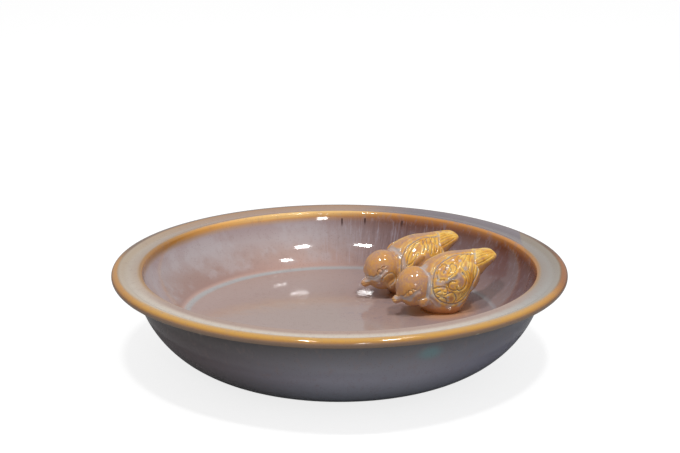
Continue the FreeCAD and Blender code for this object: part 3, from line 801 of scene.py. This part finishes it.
def smooth_line(knots, spacing):
    """Samples along a smooth curve through knots, about one spacing apart."""
    padded = [knots[0] * 2 - knots[1], *knots, knots[-1] * 2 - knots[-2]]
    samples = []
    for before, start, end, after in zip(padded, padded[1:], padded[2:], padded[3:]):
        steps = max(1, round((end - start).length / spacing))
        for step in range(steps):
            t = step / steps
            samples.append(0.5 * (2 * start + (end - before) * t
                                  + (2 * before - 5 * start + 4 * end - after) * t ** 2
                                  + (3 * start - before - 3 * end + after) * t ** 3))
    samples.append(knots[-1])
    return samples


def carving_lines(name):
    """Lines cut into a bird, each with its half width and depth in mm and its glaze.

    The last three numbers say how much the glaze pools in the line, how dark its core is and how
    brightly it breaks on the edges.
    """
    head = HEADS[name]
    wing = LEAF_LINES if name == "rear_bird" else SCROLL_LINES
    lines = [(WING_EDGE, 1.2, 1.0, 0.8, 0.8, 0.9), (SHOULDER, 0.8, 0.4, 0.5, 0.3, 0.6)]
    lines += [(points, 0.8, 0.65, 0.35, 0.9, 1.0) for points in FEATHER_LINES]
    lines += [(points, 0.95, 0.9, 0.55, 0.9, 1.0) for points in wing]
    lines += [(points, 0.75, 0.45, 0.3, 0.8, 1.0) for points in TAIL_LINES]
    lines += [
        (TAIL_NECK, 1.2, 0.7, 0.7, 0.5, 0.9),
        (head["cap"], 1.0, 0.8, 0.3, 0.7, 0.4),
        (head["face"], 2.0, 0.45, 0.9, 0.0, 0.4),
        (head["cheek"], 0.9, 0.5, 0.6, 0.4, 0.45),
        (head["nape"], 2.0, 0.6, 1.0, 0.0, 0.3),
        (BEAK_LINE, 0.6, 0.5, 0.3, 0.8, 0.4),
    ]
    return lines


def merged_copy(node):
    """Copy of a CAD node's mesh, with its doubles merged."""
    bm = bmesh.new()
    bm.from_mesh(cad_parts[node].data)
    bmesh.ops.remove_doubles(bm, verts=bm.verts[:], dist=DOUBLES)
    return bm


def remeshed(bm, name, voxel):
    """Even mesh over the merged forms of a casting."""
    rough = object_from(bm, name)
    modifier = rough.modifiers.new("even_skin", "REMESH")
    modifier.mode = "VOXEL"
    modifier.voxel_size = voxel
    depsgraph = bpy.context.evaluated_depsgraph_get()
    even = bmesh.new()
    even.from_object(rough, depsgraph)
    bpy.data.objects.remove(rough)
    return even


def bird_place(node):
    """Where a bird's own frame stands: its middle on the floor, turned to its heading."""
    low, high = (Vector(corner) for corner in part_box(node + "_bond"))
    heading = math.radians(HEADINGS[node])
    ahead = Vector((math.cos(heading), math.sin(heading), 0))
    middle = (low + high) / 2 - ahead * BOND_FORWARD
    dip = math.sqrt(FLOOR_DISH ** 2 - middle.x ** 2 - middle.y ** 2)
    middle.z = FLOOR_HEIGHT + FLOOR_DISH - dip
    return Matrix.Translation(middle) @ Matrix.Rotation(heading, 4, "Z")


def ease(share):
    """Rounded fall from 1 at 0 to 0 at 1 and beyond."""
    return 0.5 + 0.5 * math.cos(math.pi * min(share, 1.0))


def relax(bm, verts, times):
    """Soften the forms where they join."""
    for _ in range(times):
        bmesh.ops.smooth_vert(bm, verts=verts, factor=0.5, use_axis_x=True, use_axis_y=True,
                              use_axis_z=True)


def both_sides(points):
    """The same points on a bird's left and right, in metres."""
    for side in (1, -1):
        yield [Vector((x, side * y, z)) * MM for x, y, z in points]


def carving_samples(tree, name):
    """Points on a bird's skin along its lines, in its pools and on its painted highlights, with
    what each does there.
    """
    samples = []
    for points, *strength in carving_lines(name):
        for line in both_sides(points):
            for sample in smooth_line(line, LINE_SPACING):
                samples.append((tree.find_nearest(sample)[0], *strength))
    for x, y, z, reach in (*BODY_POOLS, *POOLS_AND_HIGHLIGHTS[name]):
        for (centre,) in both_sides([(x, y, z)]):
            samples.append((tree.find_nearest(centre)[0], reach, 0, 0.95, 0, 0))
    return samples


def carve(bm, name):
    """Cut a bird's lines, raise its eyes, and note where the glaze pools, darkens and breaks."""
    pool_layer = bm.verts.layers.float.new("pool")
    score_layer = bm.verts.layers.float.new("score")
    break_layer = bm.verts.layers.float.new("break")
    tree = BVHTree.FromBMesh(bm)
    samples = carving_samples(tree, name)
    lines = KDTree(len(samples))
    for index, sample in enumerate(samples):
        lines.insert(sample[0], index)
    lines.balance()
    eyes = [tree.find_nearest(eye)[0] for (eye,) in both_sides([HEADS[name]["eye"]])]

    moves = []
    for vertex in bm.verts:
        cut = pool = score = broken = 0.0
        for _, index, gap in lines.find_range(vertex.co, LINE_REACH):
            _, width, depth, pooling, dark, bright = samples[index]
            width *= MM
            cut = max(cut, depth * MM * ease(gap / width))
            pool = max(pool, pooling * ease(gap / (1.6 * width)))
            score = max(score, dark * ease(gap / (0.55 * width)))
            broken = max(broken, bright * ease(gap / BREAK_REACH))
        rise = 0.0
        for eye in eyes:
            gap = (vertex.co - eye).length
            if gap < SOCKET_RADIUS:
                rise = EYE_RISE * ease(gap / EYE_RADIUS) ** 0.7
                ring = ease(abs(gap - LID_RADIUS) / LID_WIDTH)
                upper = vertex.co.z > eye.z - 0.4 * MM
                cut = LID_DEPTH * ring if gap < LID_END else cut
                score = max(score if gap > LID_END else 0, 0.8 * ring if upper else 0.3 * ring)
        vertex[pool_layer] = pool
        vertex[score_layer] = score
        vertex[break_layer] = broken
        moves.append(vertex.normal * (rise - cut))
    for vertex, move in zip(bm.verts, moves):
        vertex.co += move


def place_casting(bm, node, name, material):
    """Object of a finished casting, in place of its CAD node."""
    piece = object_from(bm, name)
    piece.data.materials.append(material)
    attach(piece, "root")
    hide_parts(node)


def make_bird(node, name, material):
    """One bird: the casting's forms under an even skin, softened, carved and set in its place."""
    place = bird_place(node)
    bm = merged_copy(node)
    bmesh.ops.transform(bm, matrix=place.inverted(), verts=bm.verts[:])
    bm = remeshed(bm, name, BIRD_SKIN)
    near_eye = []
    for vertex in bm.verts:
        mirrored = Vector((vertex.co.x, abs(vertex.co.y), vertex.co.z))
        if (mirrored - ROUGH_EYE).length < ROUGH_EYE_REACH:
            near_eye.append(vertex)
    relax(bm, near_eye, 38)
    relax(bm, bm.verts[:], 8)
    bm.normal_update()
    carve(bm, node)
    relax(bm, bm.verts[:], 1)
    bmesh.ops.transform(bm, matrix=place, verts=bm.verts[:])
    place_casting(bm, node, name, material)


def make_bond(node, name, material):
    """Collar of slip and pooled glaze round the foot of a bird."""
    bm = remeshed(merged_copy(node), name, BOND_SKIN)
    relax(bm, bm.verts[:], 2)
    place_casting(bm, node, name, material)


def bird_roughness(tree, skin):
    """Roughness of the glaze on the birds and their bonds."""
    return calc(tree, "MULTIPLY_ADD", skin["Cloud"], 0.08, 0.06)


def make_bird_glaze():
    """Amber glaze that breaks bright on the edges of the carving and pools grey in its lines."""
    material, tree, shader = new_material("amber_bird_glaze")
    place = add_node(tree, "TexCoord").outputs["Object"]
    skin = use_group(tree, SKIN, Swell=4.0, Peel=0.7)
    speckle = use_group(tree, SPECKLE, Spacing=1.1, Share=0.22)["Mask"]
    pool, score, broken = (add_node(tree, "Attribute", attribute_name=name).outputs["Fac"]
                           for name in ("pool", "score", "break"))

    # Plain glaze on the smooth forms, with golden and grey streaks in it.
    patches = noise(tree, place, 1 / (9 * MM), 3.0, 0.55)
    plain = ramp(tree, patches, ((0.34, srgb(172, 132, 114)), (0.48, srgb(190, 140, 100)),
                                 (0.62, srgb(202, 144, 80))))
    streaks = noise(tree, stretched(tree, place, (1, 1, 0.6)), 1 / (1.8 * MM), 3.0, 0.65)
    golden = product(tree, fade(tree, streaks, 0.48, 0.68), 0.6)
    plain = mix(tree, golden, plain, srgb(208, 164, 92))
    greyed = product(tree, fade(tree, streaks, 0.46, 0.30), 0.45)
    plain = mix(tree, greyed, plain, srgb(164, 136, 128))

    # Bright glaze where it breaks on the carving, pale where it pools and where some pools on the
    # front wing are painted highlight, dark in the cut lines.
    bright = ramp(tree, patches, ((0.36, srgb(210, 146, 58)), (0.50, srgb(232, 180, 76)),
                                  (0.64, srgb(238, 200, 116))))
    colour = mix(tree, fade(tree, broken, 0.25, 0.9), plain, bright)
    fine = noise(tree, place, 1 / (2.6 * MM), 2.0, 0.5)
    pool_noise = calc(tree, "MULTIPLY_ADD", calc(tree, "SUBTRACT", fine, 0.5), 1.1, pool)
    pale = mix(tree, fade(tree, patches, 0.42, 0.58), srgb(188, 166, 156), srgb(174, 172, 174))
    pooled = product(tree, fade(tree, pool_noise, 0.16, 0.9), 0.85)
    colour = mix(tree, pooled, colour, pale)
    scored = product(tree, fade(tree, score, 0.25, 0.75), 0.8)
    colour = mix(tree, scored, colour, srgb(92, 66, 42))

    height = add_node(tree, "SeparateXYZ", {"Vector": place}).outputs["Z"]
    foot = fade(tree, height, FLOOR_HEIGHT + 7.5 * MM, FLOOR_HEIGHT + 4.5 * MM)
    colour = mix(tree, product(tree, foot, 0.8), colour, srgb(178, 120, 78))
    colour = mix(tree, product(tree, speckle, 0.25), colour, srgb(120, 80, 50))
    finish_glaze(tree, shader, colour, bird_roughness(tree, skin), skin["Height"], 0.08 * MM)
    return material


def make_bond_glaze():
    """Brown-amber glaze pooled where a bird meets the floor."""
    material, tree, shader = new_material("pooled_bond_glaze")
    skin = use_group(tree, SKIN, Swell=3.0, Peel=0.6)
    colour = ramp(tree, skin["Cloud"], ((0.35, srgb(150, 92, 52)), (0.5, srgb(188, 122, 66)),
                                        (0.68, srgb(206, 146, 92))))
    finish_glaze(tree, shader, colour, bird_roughness(tree, skin), skin["Height"], 0.05 * MM)
    return material


bird_glaze = make_bird_glaze()
bond_glaze = make_bond_glaze()
for cad_bird, bird_name, bond_name in (("front_bird", "front_sparrow", "front_slip_bond"),
                                       ("rear_bird", "rear_sparrow", "rear_slip_bond")):
    make_bird(cad_bird, bird_name, bird_glaze)
    make_bond(cad_bird + "_bond", bond_name, bond_glaze)


# ---------------------------------------------------------------- floor, light and camera

# The camera and the soft boxes look at this height on the basin's axis, in the plane of the rim.
AIM_HEIGHT = 69.1 * MM

# Name, direction seen from the basin, distance, width, height and power in watts.
SOFT_BOXES = (
    ("soft_box_right", (0.276, -0.276, 0.92), 1.3, 0.14, 0.085, 5.6),
    ("soft_box_left", (-0.18, -0.33, 0.93), 1.3, 0.14, 0.085, 5.6),
    ("soft_box_back", (0.268, 0.155, 0.951), 1.3, 0.10, 0.08, 0.8),
    ("soft_box_front", (0.174, -0.923, 0.342), 1.9, 0.20, 0.14, 2.5),
)


def make_floor():
    """Plain white floor, large enough to fill the view."""
    bm = bmesh.new()
    bmesh.ops.create_grid(bm, x_segments=1, y_segments=1, size=30)
    floor = object_from(bm, "studio_floor")
    material, tree, shader = new_material("studio_white")
    shader.inputs["Base Color"].default_value = (0.34, 0.34, 0.34, 1)
    shader.inputs["Roughness"].default_value = 0.9
    shader.inputs["Specular IOR Level"].default_value = 0.0
    # Seen directly the paper is lit to white; the basin itself gets only a little light back.
    paper = add_node(tree, "Emission", {"Color": (1, 1, 1, 1), "Strength": 0.8}).outputs[0]
    lit = add_node(tree, "AddShader", {0: paper, 1: shader.outputs[0]}).outputs[0]
    direct = add_node(tree, "LightPath").outputs["Is Camera Ray"]
    either = add_node(tree, "MixShader", {0: direct, 1: shader.outputs[0], 2: lit}).outputs[0]
    tree.links.new(either, tree.nodes["Material Output"].inputs["Surface"])
    floor.data.materials.append(material)


def make_soft_box(name, direction, distance, width, height, power):
    """Rectangular soft light that looks at the basin from a direction."""
    light = bpy.data.lights.new(name, "AREA")
    light.shape = "RECTANGLE"
    light.size = width
    light.size_y = height
    light.energy = power
    lamp = bpy.data.objects.new(name, light)
    aim = Vector(direction).normalized()
    lamp.location = Vector((0, 0, AIM_HEIGHT)) + aim * distance
    lamp.rotation_euler = aim.to_track_quat("Z", "Y").to_euler()
    bpy.context.scene.collection.objects.link(lamp)


def make_world(strength):
    """Even white surround."""
    world = bpy.data.worlds.new("studio")
    world.use_nodes = True
    surround = world.node_tree.nodes["Background"]
    surround.inputs["Color"].default_value = (1, 1, 1, 1)
    surround.inputs["Strength"].default_value = strength
    bpy.context.scene.world = world


def make_camera():
    """Long lens from in front, a little above the rim."""
    camera_data = bpy.data.cameras.new("camera")
    camera_data.sensor_width = 36
    camera_data.lens = 108.5
    camera = bpy.data.objects.new("camera", camera_data)
    distance = 1.4888
    elevation = math.radians(17.48)
    tilt = elevation - math.radians(1.165)
    turn = math.radians(-0.014)
    camera.location = (0, -distance * math.cos(elevation),
                       AIM_HEIGHT + distance * math.sin(elevation))
    camera.rotation_euler = (math.pi / 2 - tilt, 0, turn)
    bpy.context.scene.collection.objects.link(camera)
    bpy.context.scene.camera = camera


make_floor()
make_world(0.46)
for soft_box in SOFT_BOXES:
    make_soft_box(*soft_box)
make_camera()
bpy.context.scene.view_settings.view_transform = "Standard"
